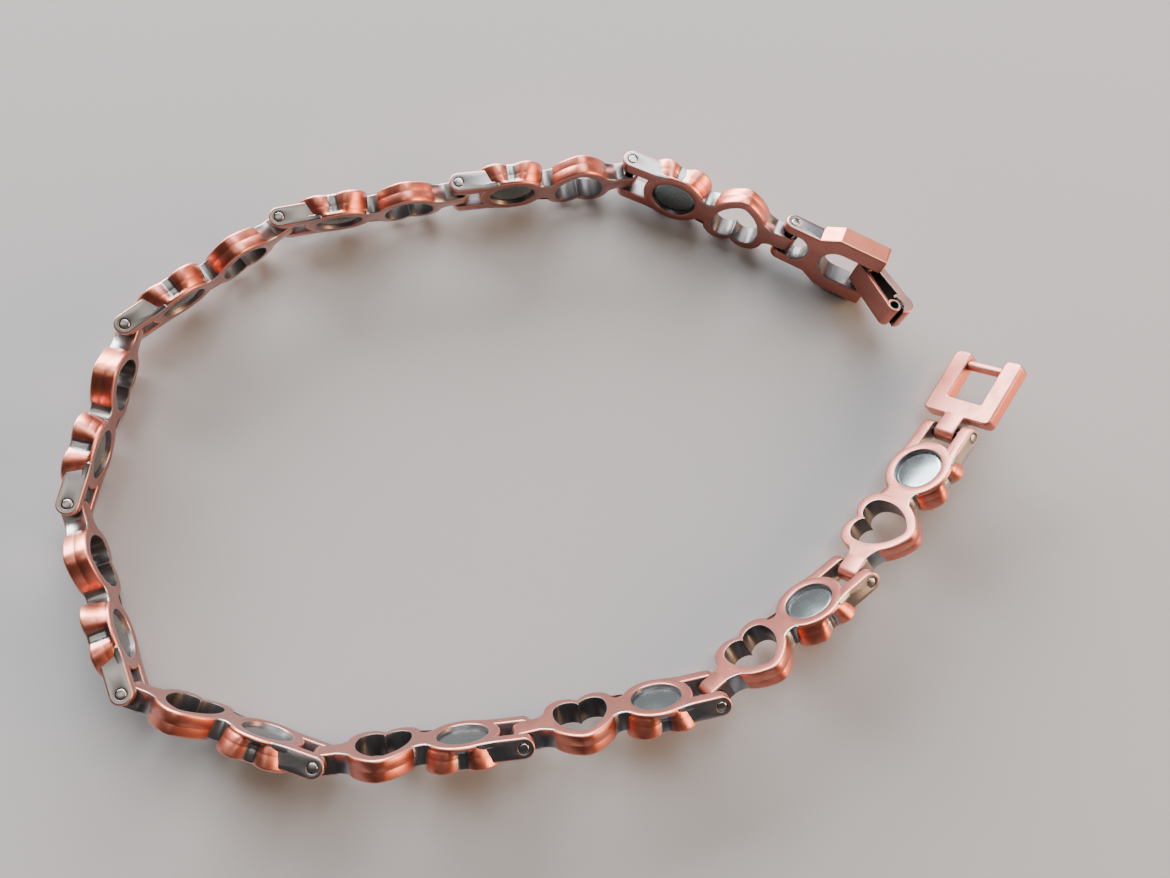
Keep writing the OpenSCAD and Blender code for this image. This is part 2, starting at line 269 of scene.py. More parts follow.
def raised(line, height, axis="z"):
    """A flat outline as points: drawn in XY at a height, or in XZ at a place along Y."""
    level = np.full(len(line), height)
    if axis == "z":
        return np.column_stack([line, level])
    return np.column_stack([line[:, 0], level, line[:, 1]])


def wall(low, high, soft, crease=0.0, draft=0.0):
    """Heights and insets up a cast wall: rounded edges, a fine crease half-way, the low half set back."""
    arc = [math.radians(a) for a in (0, 22, 45, 68, 90)]
    low_edge = [(low + soft * (1 - math.cos(a)), soft * (1 - math.sin(a)) + draft) for a in arc]
    high_edge = [(high - soft * (1 - math.cos(a)), soft * (1 - math.sin(a))) for a in reversed(arc)]
    middle = (low + high) / 2
    if crease:
        low_edge += [(middle - 0.08, draft / 2), (middle - 0.02, draft / 2 + crease), (middle + 0.04, 0.0)]
    return low_edge + high_edge


def plate(casting, line, low, high, soft, axis="z", side=0.0, top=0.0, crease=0.0, draft=0.0,
          hole=None, bore=BATH, brim=0.0):
    """A cast plate with rounded edges, and with a hole if a second outline with as many points is given."""
    steps = wall(low, high, soft, crease, draft)
    last = len(steps) - 1
    rings = [raised(drawn_in(line, inset), height, axis) for height, inset in steps]
    dark = [top if k in (0, last) else side for k in range(last + 1)]
    # How rubbed each ring is, counted in from the nearer end: most of all on the turn of the edge.
    worn = {0: 0.0, 1: 0.4, 2: 1.0, 3: 0.4}
    edge = [worn.get(min(k, last - k), 0.0) for k in range(last + 1)]
    if hole is None:
        casting.skin(rings, dark, edge)
        return
    steps = wall(low, high, min(soft, 0.08))[::-1]
    last = len(steps) - 1
    rings += [raised(drawn_in(hole, -inset), height, axis) for height, inset in steps]
    dark += [top + brim if k in (0, last) else bore for k in range(last + 1)]
    edge += [0.7 if k in (1, last - 1) else 0.0 for k in range(last + 1)]
    casting.skin(rings, dark, edge, closed=True)


def heart_line(length, low, high, lobe_r, tip_r, flank_r):
    """Two round lobes low down and a rounded tip, joined by bowed flanks."""
    lobe = np.array([length / 2 - lobe_r, low + lobe_r])
    tip = np.array([0, high - tip_r])
    apart = tip - lobe
    d = np.linalg.norm(apart)
    to_lobe, to_tip = flank_r - lobe_r, flank_r - tip_r
    along = (d * d + to_lobe**2 - to_tip**2) / (2 * d)
    aside = math.sqrt(to_lobe**2 - along**2)
    middle = lobe + (along * apart + aside * np.array([-apart[1], apart[0]])) / d
    first, last = (math.atan2(*(p - middle)[::-1]) for p in (lobe, tip))
    turns = np.linspace(first, last, 24)
    flank = [middle + flank_r * np.array([math.cos(a), math.sin(a)]) for a in turns]
    flip = np.array([-1, 1])
    circles = [(*lobe, lobe_r), (*(lobe * flip), lobe_r), (*tip, tip_r)]
    return star((0, 0), circles, [[lobe * flip, lobe] + flank + [p * flip for p in reversed(flank)]])


def seat(casting):
    """One skin from the back's middle over the petals, up the wall, over the rim and into the pocket."""
    corners = [(x * PETAL_OUT, y * PETAL_OUT, PETAL_R) for x in (-1, 1) for y in (-1, 1)]
    petals = star((0, 0), [(0, 0, SEAT_CORE)] + corners)
    reach = np.linalg.norm(petals, axis=1)
    way = petals / reach[:, None]
    rings, dark, edge = [], [], []

    def ring(height, inset, e=0.0):
        """One level of the wall: petals that spread towards the back and end in a round rim at the face."""
        spread = SEAT_R + PETAL_FLARE * min(1.0, (FLARE_TOP - height) / (FLARE_TOP - BACK_Z))
        corner = np.clip(1 - np.abs(reach - spread) / PETAL_SOFT, 0, 1)
        flower = np.minimum(reach, spread) - PETAL_SOFT / 4 * corner**2
        rim = min(1.0, max(0.0, (height - RIM_START) / (RIM_END - RIM_START)))
        out = flower + (SEAT_R - flower) * rim * rim * (3 - 2 * rim)
        rings.append(raised(drawn_in(way * out[:, None], inset) + (SEAT_X, 0), height))
        notch = np.clip((NOTCH_REACH - reach) / 0.2, 0, 1)
        dark.append(notch * (1 - rim) * min(1.0, (height - BACK_Z) / BACK_SOFT))
        edge.append(e)

    def well(height, r, d, e=0.0):
        """One level of the pocket's round wall."""
        rings.append(raised(circle_line((SEAT_X, 0), r), height))
        dark.append(d)
        edge.append(e)

    for a, e in ((0, 0.2), (20, 0.6), (45, 1.0), (70, 0.6), (90, 0.2)):
        a = math.radians(a)
        ring(BACK_Z + BACK_SOFT * (1 - math.cos(a)), BACK_SOFT * (1 - math.sin(a)), e)
    for height, inset in ((-0.5, 0.0), (-0.16, 0.0), (-0.1, 0.012), (-0.04, 0.0)):
        ring(height, inset)
    for height in (0.1, RIM_START, 0.43, 0.5, 0.56, RIM_END):
        ring(height, 0.0)
    for a, e in ((90, 0.0), (65, 0.5), (40, 1.0), (20, 0.5), (0, 0.0)):
        a = math.radians(a)
        ring(FACE_Z - FACE_SOFT * (1 - math.cos(a)), FACE_SOFT * (1 - math.sin(a)), e)
    well(FACE_Z, POCKET_R + 0.12, 0.0)
    well(FACE_Z - 0.03, POCKET_R + 0.05, 0.3, 0.3)
    # Down the pocket's wall the colour turns to a painted near-black shade round the magnet.
    well(FACE_Z - 0.1, POCKET_R, 1.6)
    well(POCKET_FLOOR, POCKET_R, HOLLOW_SHADE)
    well(POCKET_FLOOR, POCKET_R - 0.1, HOLLOW_SHADE)
    casting.skin(rings, dark, edge)


def lug(casting, pin_x, way, length, low, high, hole_r, side, end=0.0):
    """A bar along the bracelet with a pin across its end, and how dark its sides and its end are."""
    r = EAR_R - 0.003
    bar = [(pin_x, -r), (pin_x + way * length, -r), (pin_x + way * length, r), (pin_x, r)]
    outline = star((pin_x, 0), [(pin_x, 0, EAR_R)], [bar])
    hole = circle_line((pin_x, 0), hole_r)
    rim = np.where(np.abs(outline[:, 1]) < 0.7 * EAR_R, end, 0.0)
    # The bore is painted near-black and the brim round it darker: painted shade in the gap round the pin.
    holed = dict(hole=hole, bore=HOLLOW_SHADE, brim=0.6)
    plate(casting, outline, low, high, BAR_SOFT, axis="y", side=rim, top=side, **holed)


def bowed(first, bend, last, steps=10):
    """Points along a smooth hollow curve from first to last, pulled towards bend."""
    first, bend, last = (np.array(p, float) for p in (first, bend, last))
    share = np.linspace(0, 1, steps)
    return [(1 - t) ** 2 * first + 2 * t * (1 - t) * bend + t * t * last for t in share]


def web(casting, upper, lower, bottom=0.05 - EAR_R):
    """A bridge between two wider forms, with hollowed upper and lower sides."""
    line = np.array(bowed(*lower) + bowed(*upper)[::-1])
    plate(casting, line, bottom, FACE_Z - 0.002, BAR_SOFT, side=BATH)


def link_mesh(material):
    """One link along +X from its own pin, with its back to -Z."""
    casting = Casting()
    seat(casting)
    ears_end = SEAT_X - SEAT_R
    fillet = [(-0.6, EARS_HALF - 0.06), (0.9, EARS_HALF - 0.04), (1.8, EARS_HALF + 0.26)]
    inner = [(0.0, SLOT_HALF + 0.33), (0.7, SLOT_HALF + 0.33), (1.6, SLOT_HALF + 0.43)]
    for side in (-1, 1):
        near, far = sorted((side * SLOT_HALF, side * EARS_HALF))
        lug(casting, 0, 1, ears_end + 1.3, near, far, BORE_R, BATH)
        upper, lower = ([(ears_end + x, side * y) for x, y in line] for line in (inner, fillet)[::-side])
        web(casting, upper, lower, EAR_WEB_LOW)
    neck_x = SEAT_X + 2.4
    neck_high = [(neck_x, 1.6), (neck_x + 0.75, 0.8), (neck_x + 1.75, 1.9)]
    neck_low = [(neck_x, -1.62), (neck_x + 0.6, -1.0), (neck_x + 1.05, -1.85)]
    web(casting, neck_high, neck_low)
    outer = heart_line(HEART_L, LOBES_Y, TIP_Y, LOBE_SHARE * HEART_L, TIP_R, FLANK_R)
    hole_l = HEART_L - 2 * HEART_WALL
    hole_low, hole_high = LOBES_Y + HEART_WALL, TIP_Y - HEART_WALL
    hole_lobe_r = HOLE_LOBE_SHARE * hole_l
    inner = heart_line(hole_l, hole_low, hole_high, hole_lobe_r, HOLE_TIP_R, FLANK_R - HEART_WALL)
    # The heart's wall is dark at its two roots, where the neck and the tongue grow out of it.
    across, along = np.abs(outer).T[::-1]
    roots = np.clip((along - 2.2) / 0.3, 0, 1) * np.clip((1.7 - across) / 0.5, 0, 1)
    outer, inner = outer + (HEART_X, 0), inner + (HEART_X, 0)
    # The heart's hole walls are painted near-black: painted shade.
    cast = dict(side=roots, crease=0.01, draft=0.06, hole=inner, bore=HOLLOW_SHADE)
    plate(casting, outer, HEART_BACK, FACE_Z, FACE_SOFT, **cast)
    lug(casting, PITCH, -1, TONGUE_L + 0.2, -TONGUE_HALF, TONGUE_HALF, SWIVEL_R, BATH, 0.75)
    root_x, wide, narrow = PITCH - TONGUE_L, TONGUE_HALF + 0.03, TONGUE_HALF - 0.02
    root_high = [(root_x - 0.95, 1.9), (root_x, wide), (root_x + 0.7, narrow)]
    root_low = [(root_x - 0.4, -2.1), (root_x, -wide), (root_x + 0.7, -narrow)]
    web(casting, root_high, root_low)
    return casting.mesh("link", material)


def group_with(name, inputs, outputs):
    group = bpy.data.node_groups.new(name, "ShaderNodeTree")
    for label, kind in inputs:
        group.interface.new_socket(label, in_out="INPUT", socket_type=kind)
    for label, kind in outputs:
        group.interface.new_socket(label, in_out="OUTPUT", socket_type=kind)
    return group, group.nodes.new("NodeGroupInput"), group.nodes.new("NodeGroupOutput")


def math_node(tree, kind, first, second, third=None):
    """A sum on two or three values, each a socket or a number."""
    node = tree.nodes.new("ShaderNodeMath")
    node.operation = kind
    for socket, value in zip(node.inputs, (first, second, third)):
        if isinstance(value, (int, float)):
            socket.default_value = value
        elif value is not None:
            tree.links.new(value, socket)
    return node.outputs[0]


def noise(tree, vector, scale, detail=3.0, rough=0.55):
    node = tree.nodes.new("ShaderNodeTexNoise")
    node.inputs["Scale"].default_value = scale
    node.inputs["Detail"].default_value = detail
    node.inputs["Roughness"].default_value = rough
    tree.links.new(vector, node.inputs["Vector"])
    return node.outputs["Fac"]


def ramp(tree, value, low, high, start=0.0, end=1.0):
    """The value spread from low..high over start..end, with soft ends."""
    node = tree.nodes.new("ShaderNodeMapRange")
    node.interpolation_type = "SMOOTHSTEP"
    for label, number in (("From Min", low), ("From Max", high), ("To Min", start), ("To Max", end)):
        node.inputs[label].default_value = number
    tree.links.new(value, node.inputs["Value"])
    return node.outputs["Result"]


def mixed(tree, share, first, second):
    """A colour between two, each a socket or a colour."""
    node = tree.nodes.new("ShaderNodeMix")
    node.data_type = "RGBA"
    for label, value in (("Factor", share), ("A", first), ("B", second)):
        socket = node.inputs[label]
        if isinstance(value, tuple):
            socket.default_value = (*value, 1)
        elif isinstance(value, (int, float)):
            socket.default_value = value
        else:
            tree.links.new(value, socket)
    return node.outputs["Result"]


def tumbled_skin_group():
    """What tumbling leaves on a casting: a faint orange peel, fine grain, and hairlines in two ways."""
    group, given, made = group_with(
        "tumbled_skin", [("Vector", "NodeSocketVector")],
        [("Height", "NodeSocketFloat"), ("Mottle", "NodeSocketFloat"), ("Scratches", "NodeSocketFloat")])
    place = given.outputs["Vector"]
    peel = noise(group, place, 900, 2.0)
    grain = noise(group, place, 9000, 2.0)
    lines = []
    for turned in (0.5, -0.9):
        along = group.nodes.new("ShaderNodeMapping")
        along.inputs["Rotation"].default_value = (0, 0, turned)
        along.inputs["Scale"].default_value = (0.06, 1, 1)
        group.links.new(place, along.inputs["Vector"])
        lines.append(ramp(group, noise(group, along.outputs["Vector"], 7000, 1.0), 0.66, 0.74))
    scratches = math_node(group, "MAXIMUM", *lines)
    height = math_node(group, "MULTIPLY_ADD", grain, 0.06, math_node(group, "MULTIPLY", peel, 0.5))
    height = math_node(group, "MULTIPLY_ADD", scratches, -0.1, height)
    mottle = ramp(group, noise(group, place, 650, 4.0, 0.55), 0.42, 0.68)
    for label, socket in (("Height", height), ("Mottle", mottle), ("Scratches", scratches)):
        group.links.new(socket, made.inputs[label])
    return group


def worn_bath_group():
    """Where the bath's tone stays in recesses and where edges are rubbed, both broken up by noise, and a
    painted shade with some grime in crevices and deep hollows.
    """
    group, given, made = group_with(
        "worn_bath",
        [("Vector", "NodeSocketVector"), ("Dark", "NodeSocketFloat"), ("Edge", "NodeSocketFloat"),
         ("Open", "NodeSocketFloat")],
        [("Tone", "NodeSocketFloat"), ("Rubbed", "NodeSocketFloat"), ("ShadeAndGrime", "NodeSocketFloat")])
    patches = noise(group, given.outputs["Vector"], 1500, 4.0, 0.6)
    start = math_node(group, "SUBTRACT", given.outputs["Dark"], 0.25)
    tone = ramp(group, math_node(group, "MULTIPLY_ADD", patches, 0.5, start), 0.3, 0.7)
    rubbed = math_node(group, "MULTIPLY", given.outputs["Edge"], ramp(group, patches, 0.3, 0.6, 0.35, 1.0))
    # Painted shade with some grime: crevices darken by how shut in they are, deep hollows by their darkness
    # level.
    shut = ramp(group, given.outputs["Open"], 0.4, 0.88, 1.0, 0.0)
    crevice_shade_and_grime = math_node(group, "MULTIPLY", shut, ramp(group, patches, 0.25, 0.6, 0.6, 1.0))
    deep = math_node(group, "MAXIMUM", crevice_shade_and_grime, ramp(group, given.outputs["Dark"], 1.2, 1.9))
    for label, socket in (("Tone", tone), ("Rubbed", rubbed), ("ShadeAndGrime", deep)):
        group.links.new(socket, made.inputs[label])
    return group


tumbled_skin = tumbled_skin_group()
worn_bath = worn_bath_group()


def cast_metal(name, face, wall_tone, bath, rubbed, satin, gloss):
    """A cast metal: face, wall, the bath's colour in recesses, rubbed edges, and two roughnesses."""
    made = bpy.data.materials.new(name)
    made.use_nodes = True
    tree = made.node_tree
    nodes, join = tree.nodes, tree.links.new
    skin = nodes["Principled BSDF"]
    skin.inputs["Metallic"].default_value = 1.0
    skin.inputs["Coat Weight"].default_value = 0.7
    skin.inputs["Coat Roughness"].default_value = 0.24
    where = nodes.new("ShaderNodeTexCoord")
    dark = nodes.new("ShaderNodeAttribute")
    dark.attribute_name = "dark"
    edge = nodes.new("ShaderNodeAttribute")
    edge.attribute_name = "edge"
    # How open each point is, which drives the painted shade in crevices.
    shelter = nodes.new("ShaderNodeAmbientOcclusion")
    shelter.samples = 6
    shelter.inputs["Distance"].default_value = 0.0007
    tumbled = nodes.new("ShaderNodeGroup")
    tumbled.node_tree = tumbled_skin
    worn = nodes.new("ShaderNodeGroup")
    worn.node_tree = worn_bath
    join(where.outputs["Object"], tumbled.inputs["Vector"])
    join(where.outputs["Object"], worn.inputs["Vector"])
    join(dark.outputs["Fac"], worn.inputs["Dark"])
    join(edge.outputs["Fac"], worn.inputs["Edge"])
    join(shelter.outputs["AO"], worn.inputs["Open"])
    split = nodes.new("ShaderNodeSeparateXYZ")
    join(where.outputs["Normal"], split.inputs["Vector"])
    # Faces towards the wrist are rubbed paler than the walls. The two colours also carry painted light: the
    # face colour is darkened to stand in for shade, the wall colour brightened to stand in for light it
    # reflects.
    facing = ramp(tree, split.outputs["Z"], 0.8, 0.97)
    colour = mixed(tree, facing, wall_tone, face)
    stain = math_node(tree, "MULTIPLY", tumbled.outputs["Mottle"], 0.22)
    colour = mixed(tree, stain, colour, tuple(0.6 * c for c in face))
    colour = mixed(tree, worn.outputs["Tone"], colour, bath)
    # Painted shade with some grime: crevices and deep hollows go near-black.
    shade_and_grime = math_node(tree, "MULTIPLY", worn.outputs["ShadeAndGrime"], 0.8)
    shade_and_grime_tone = (0.045, 0.036, 0.034)
    colour = mixed(tree, shade_and_grime, colour, shade_and_grime_tone)
    bare = math_node(tree, "MULTIPLY", worn.outputs["Rubbed"], 0.4)
    colour = mixed(tree, bare, colour, rubbed)
    join(colour, skin.inputs["Base Color"])
    rough = math_node(tree, "MULTIPLY_ADD", facing, satin - gloss, gloss)
    rough = math_node(tree, "MULTIPLY_ADD", tumbled.outputs["Mottle"], 0.09, rough)
    rough = math_node(tree, "MULTIPLY_ADD", tumbled.outputs["Scratches"], 0.06, rough)
    rough = math_node(tree, "MULTIPLY_ADD", worn.outputs["Tone"], -0.08, rough)
    rough = math_node(tree, "MULTIPLY_ADD", worn.outputs["Rubbed"], 0.1, rough)
    join(math_node(tree, "MULTIPLY_ADD", worn.outputs["ShadeAndGrime"], 0.2, rough), skin.inputs["Roughness"])
    bump = nodes.new("ShaderNodeBump")
    bump.inputs["Strength"].default_value = 0.22
    bump.inputs["Distance"].default_value = 0.00003
    join(tumbled.outputs["Height"], bump.inputs["Height"])
    join(bump.outputs["Normal"], skin.inputs["Normal"])
    return made


# The face colour is darkened as painted shade and the wall colour brightened as painted light.
copper = cast_metal(
    "aged_copper", face=(0.42, 0.14, 0.105), wall_tone=(0.67, 0.192, 0.122), bath=(0.3, 0.29, 0.3),
    rubbed=(0.95, 0.6, 0.48), satin=0.38, gloss=0.37)
link_skin = link_mesh(copper)

# The route of the chain, as in the part: plan heading and lean of each link, in degrees.
# START is the first pin's place in plan, and LIFT keeps the links' lower edges off the floor.
ROUTE = [
    (-110, 38), (-124, 29), (-150, 24), (-156, 16), (-181, 6), (-230, -6),
    (-262, -12), (-302, -17), (-329, -15), (-333, -7), (-364, 5),
]
LADDER_ROUTE = (-104, 40)
LADDER_RISE = -10
CLASP_ROUTE = (-368, 15)
START = (33.09, 13.69)
LIFT = 0.08
LINKS = len(ROUTE)
LEANS = [ROUTE[0][1]] + [lean for heading, lean in ROUTE] + [CLASP_ROUTE[1]]


def pin_height(i):
    """How high pin i stands, between two pieces that both rest on their lower edges."""
    lean = math.radians((LEANS[i] + LEANS[i + 1]) / 2)
    fall = -BACK_Z if lean > 0 else -FACE_Z
    return -LOBES_Y * math.cos(lean) + fall * math.sin(lean) + LIFT


def laid(place, heading, lean, rise):
    """The place of a piece drawn along +X with its wrist face to +Z, in metres."""
    there = Matrix.Translation(Vector(place) * MM)
    return there @ Matrix.Rotation(math.radians(heading), 4, "Z") @ Matrix.Rotation(
        math.radians(-rise), 4, "Y") @ Matrix.Rotation(math.radians(90 - lean), 4, "X")


PINS = [Vector((*START, pin_height(0)))]
LAID = []
for i, (heading, lean) in enumerate(ROUTE):
    rise = math.asin((pin_height(i + 1) - pin_height(i)) / PITCH)
    LAID.append(laid(PINS[i], heading, lean, math.degrees(rise)))
    h = math.radians(heading)
    run = Vector((math.cos(h) * math.cos(rise), math.sin(h) * math.cos(rise), math.sin(rise)))
    PINS.append(PINS[i] + PITCH * run)
LADDER_LAID = laid(PINS[0], *LADDER_ROUTE, LADDER_RISE)
CLASP_LAID = laid(PINS[LINKS], *CLASP_ROUTE, 0)

for i in range(LINKS):
    number = f"{i + 1:02d}"
    shown("cast_link_" + number, link_skin, LAID[i], "bracelet", "aged_copper", "link_" + number)

# Magnets
# A small magnet in a thin grey plating, with a rounded rim and a slight dome.
# One is glued into each pocket, on the wrist side.
def plated_metal(name, base, wear_and_sheen_tone, satin):
    """A thin plating: cloudy, with hairlines, and paler on its rim, which is partly wear and partly a painted
    highlight.
    """
    made = bpy.data.materials.new(name)
    made.use_nodes = True
    tree = made.node_tree
    nodes, join = tree.nodes, tree.links.new
    skin = nodes["Principled BSDF"]
    skin.inputs["Metallic"].default_value = 1.0
    where = nodes.new("ShaderNodeTexCoord")
    edge = nodes.new("ShaderNodeAttribute")
    edge.attribute_name = "edge"
    tumbled = nodes.new("ShaderNodeGroup")
    tumbled.node_tree = tumbled_skin
    join(where.outputs["Object"], tumbled.inputs["Vector"])
    cloudy = math_node(tree, "MULTIPLY", tumbled.outputs["Mottle"], 0.14)
    colour = mixed(tree, cloudy, base, tuple(0.7 * c for c in base))
    lines = math_node(tree, "MULTIPLY", tumbled.outputs["Scratches"], 0.04)
    # The pale tone on the rim is partly wear and partly a painted highlight.
    rim = math_node(tree, "MULTIPLY_ADD", edge.outputs["Fac"], 0.7, lines)
    join(mixed(tree, rim, colour, wear_and_sheen_tone), skin.inputs["Base Color"])
    rough = math_node(tree, "MULTIPLY_ADD", tumbled.outputs["Mottle"], 0.05, satin)
    rough = math_node(tree, "MULTIPLY_ADD", tumbled.outputs["Scratches"], 0.05, rough)
    join(rough, skin.inputs["Roughness"])
    bump = nodes.new("ShaderNodeBump")
    bump.inputs["Strength"].default_value = 0.012
    bump.inputs["Distance"].default_value = 0.00003
    join(tumbled.outputs["Height"], bump.inputs["Height"])
    join(bump.outputs["Normal"], skin.inputs["Normal"])
    return made


# On the magnets the pale rim tone is a painted highlight.
magnet_metal = plated_metal("magnet_plating", (0.18, 0.215, 0.22), (0.62, 0.74, 0.75), 0.23)
MAGNET_R = 1.96
MAGNET_LOW = -0.5
MAGNET_RIM = 0.53
MAGNET_TOP = 0.68


def magnet_mesh():
    """A turned form: radius and height from the underside round the rim to the middle of the dome."""
    casting = Casting()
    profile = [(MAGNET_R - 0.1, MAGNET_LOW), (MAGNET_R, MAGNET_LOW + 0.1), (MAGNET_R, MAGNET_RIM - 0.14)]
    profile += [(MAGNET_R - 0.04, MAGNET_RIM - 0.05), (MAGNET_R - 0.13, MAGNET_RIM)]
    for k in range(1, 9):
        share = 1 - k / 8.5
        r = (MAGNET_R - 0.13) * share
        profile.append((r, MAGNET_TOP - (MAGNET_TOP - MAGNET_RIM) * share**2))
    rings = [raised(circle_line((SEAT_X, 0), r, 72), z) for r, z in profile]
    casting.skin(rings, [0.0] * len(rings), [0.0, 0.0, 0.3, 1.0, 0.3] + [0.0] * 8)
    return casting.mesh("magnet", magnet_metal)


magnet_shape = magnet_mesh()
for i in range(LINKS):
    number = f"{i + 1:02d}"
    shown("plated_magnet_" + number, magnet_shape, LAID[i], "bracelet", "magnet", "magnet_" + number)

# Hinge pins
# A plain pin of dark steel through each pair of ears and the tongue between them.
# Its ends are filed flush, with a fine ring of shadow round each.
pin_metal = plated_metal("dark_pin", (0.36, 0.335, 0.33), (0.62, 0.58, 0.56), 0.27)
PIN_R = 0.4


def pin_mesh(name, half, middle=(0, 0)):
    """A round pin along Y, with both ends filed to a soft edge."""
    casting = Casting()
    end = [(half - 0.08, PIN_R), (half - 0.02, PIN_R - 0.04), (half, PIN_R - 0.1)]
    profile = [(-y, r) for y, r in reversed(end)] + end
    rings = [raised(circle_line(middle, r, 40), y, "y") for y, r in profile]
    casting.skin(rings, [0.0] * 6, [0.0, 1.0, 0.0, 0.0, 1.0, 0.0])
    return casting.mesh(name, pin_metal)


CLASP_EARS_HALF = 2.15
link_pin = pin_mesh("link_pin", EARS_HALF)
for i in range(LINKS):
    number = f"{i + 1:02d}"
    shown("flush_pin_" + number, link_pin, LAID[i], "bracelet", "dark_steel", "pin_" + number)
shown("flush_pin_12", pin_mesh("ear_pin", CLASP_EARS_HALF), CLASP_LAID, "bracelet", "dark_steel", "pin_12")

# Ladder end
# A flat frame cast in the same copper. Its tongue hangs on the first link's pin,
# and a round catch bar for the lever lies between its two side bars.
LADDER_HALF = 3.3
WINDOW_HALF = 1.65
LADDER_NEAR = -1.42
WINDOW_NEAR = -3.07
CATCH_X = -6.62
CATCH_R = 0.45
LADDER_FAR = -7.57
LADDER_Z = 0.675


def ladder_mesh(material):
    """The ladder end along -X from its pin: frame, tongue and catch bar."""
    casting = Casting()
    root = TONGUE_HALF - 0.01
    half = [
        (LADDER_NEAR + 0.5, root), (LADDER_NEAR, root), (LADDER_NEAR, LADDER_HALF),
        (LADDER_FAR, LADDER_HALF), (LADDER_FAR, WINDOW_HALF), (WINDOW_NEAR, WINDOW_HALF)]
    softness = [0.05, 0.35, 0.55, 0.6, 0.45, 0.2]
    frame_line = half + [(x, -y) for x, y in reversed(half)]
    plate(casting, rounded(frame_line, softness + softness[::-1]), -LADDER_Z, LADDER_Z, FACE_SOFT)
    slope = [(0, EAR_R), (-0.3, EAR_R), (LADDER_NEAR - 0.2, LADDER_Z - 0.003), (-2.2, LADDER_Z - 0.003)]
    outline = slope + [(x, -z) for x, z in reversed(slope)]
    tongue = star((0, 0), [(0, 0, EAR_R)], [outline])
    end = np.where((np.abs(tongue[:, 1]) < 0.7 * EAR_R) & (tongue[:, 0] > 0), 0.75, 0.0)
    hole = circle_line((0, 0), SWIVEL_R)
    # The bore is painted near-black: painted shade round the pin.
    holed = dict(hole=hole, bore=HOLLOW_SHADE)
    plate(casting, tongue, -TONGUE_HALF, TONGUE_HALF, BAR_SOFT, "y", side=end, top=BATH, **holed)
    bar = circle_line((CATCH_X, 0), CATCH_R, 36)
    rings = [raised(bar, y, "y") for y in (-1.9, -1.6, -0.8, 0.8, 1.6, 1.9)]
    casting.skin(rings, [0.6, 0.3, 0, 0, 0.3, 0.6], [0, 0, 0.5, 0.5, 0, 0])
    return casting.mesh("ladder_end", material)


shown("ladder_frame", ladder_mesh(copper), LADDER_LAID, "bracelet", "aged_copper", "ladder_end")

# Clasp body
# A flat casting of the same copper. Its two ears hold the last link's tongue, which a round slot
# gives room, and its two arms stand round an open U for the lever.
ARM_HALF = 3.05
OPENING_HALF = 1.55
OPENING_X = 3.55
ARM_END = 8.65
SHOULDER_X = 2.6
FLANK_X = 4.2
SLOT_R = 1.3
SLOT_MIDDLE = 0.85
CLASP_BACK = -1.15


def half_circle(middle_x, r, steps=14):
    """From the lower side round the low-x end to the upper side."""
    turns = [-math.pi / 2 - math.pi * k / steps for k in range(steps + 1)]
    return [(middle_x + r * math.cos(a), r * math.sin(a)) for a in turns]


def clasp_body_mesh(material):
    """The clasp body along +X from its pin: a plate with the slot, a thicker part with the arms, and ears."""
    casting = Casting()
    outside = [(FLANK_X, -ARM_HALF), (ARM_END, -ARM_HALF), (ARM_END, -OPENING_HALF)]
    opening = half_circle(OPENING_X + OPENING_HALF, OPENING_HALF)
    arms = outside + opening + [(x, -y) for x, y in reversed(outside)]
    # The plate keeps a hair inside the ears' sides and the thicker part, so that no two faces coincide.
    edge = CLASP_EARS_HALF - 0.012
    ear = [(0.1, -SLOT_R), (0.1, -edge), (SHOULDER_X, -edge)]
    slot_line = half_circle(-SLOT_MIDDLE, SLOT_R)
    whole = ear + arms + [(x, -y) for x, y in reversed(ear)] + [(-x, y) for x, y in reversed(slot_line)]
    low = [(SHOULDER_X, -edge)] + arms + [(SHOULDER_X, edge)]
    layers = ((whole, 0.004, 0.02 - EAR_R, FACE_Z), (low, 0.0, CLASP_BACK, FACE_Z - 0.02))
    for line, inset, bottom, top in layers:
        line = drawn_in(rounded(line, 0.26), inset)
        # The walls inside the opening are painted near-black: painted shade.
        inside = (np.abs(line[:, 1]) < OPENING_HALF + 0.01) & (line[:, 0] < ARM_END - 0.3)
        plate(casting, line, bottom, top, 0.16, side=HOLLOW_SHADE * inside)
    for side in (-1, 1):
        near, far = sorted((side * (SLOT_R + 0.003), side * CLASP_EARS_HALF))
        lug(casting, 0, 1, SHOULDER_X + 0.2, near, far, BORE_R, 0.9)
    return casting.mesh("clasp_body", material)


shown("clasp_frame", clasp_body_mesh(copper), CLASP_LAID, "bracelet", "aged_copper", "clasp_body")

# Lever's pin
# A plain pin of dark steel through both arms and the lever's knuckle.
# Its ends are dressed off and plated over with the arms.
PIVOT_X = 7.45
PIVOT_Z = -0.15
lever_pin = pin_mesh("lever_pin", ARM_HALF - 0.1, (PIVOT_X, PIVOT_Z))
shown("lever_pin", lever_pin, CLASP_LAID, "bracelet", "dark_steel", "clasp_pin")

# Lever
# A strip of the same copper folded in one piece: a knuckle round the pin, a flat plate with a curled end,
# and a hook leg with a round end, which snaps round the catch bar.
LEVER_HALF = 1.15
KNUCKLE_R = 0.75
KNUCKLE_BORE = 0.43
PLATE_T = 0.4
LIP_X = -0.5
LIP_T = 0.5
CURL_X = 4.6
CURL_R = 0.63
EYE_R = 0.38
HOOK_GAP = 1.3
LEG_RISE = 0.5
HOOK_T = 0.8
HOOK_X = 4.7
HOOK_END_R = 1.02
SNAP_GAP = 0.12
LEVER_OPEN = 40


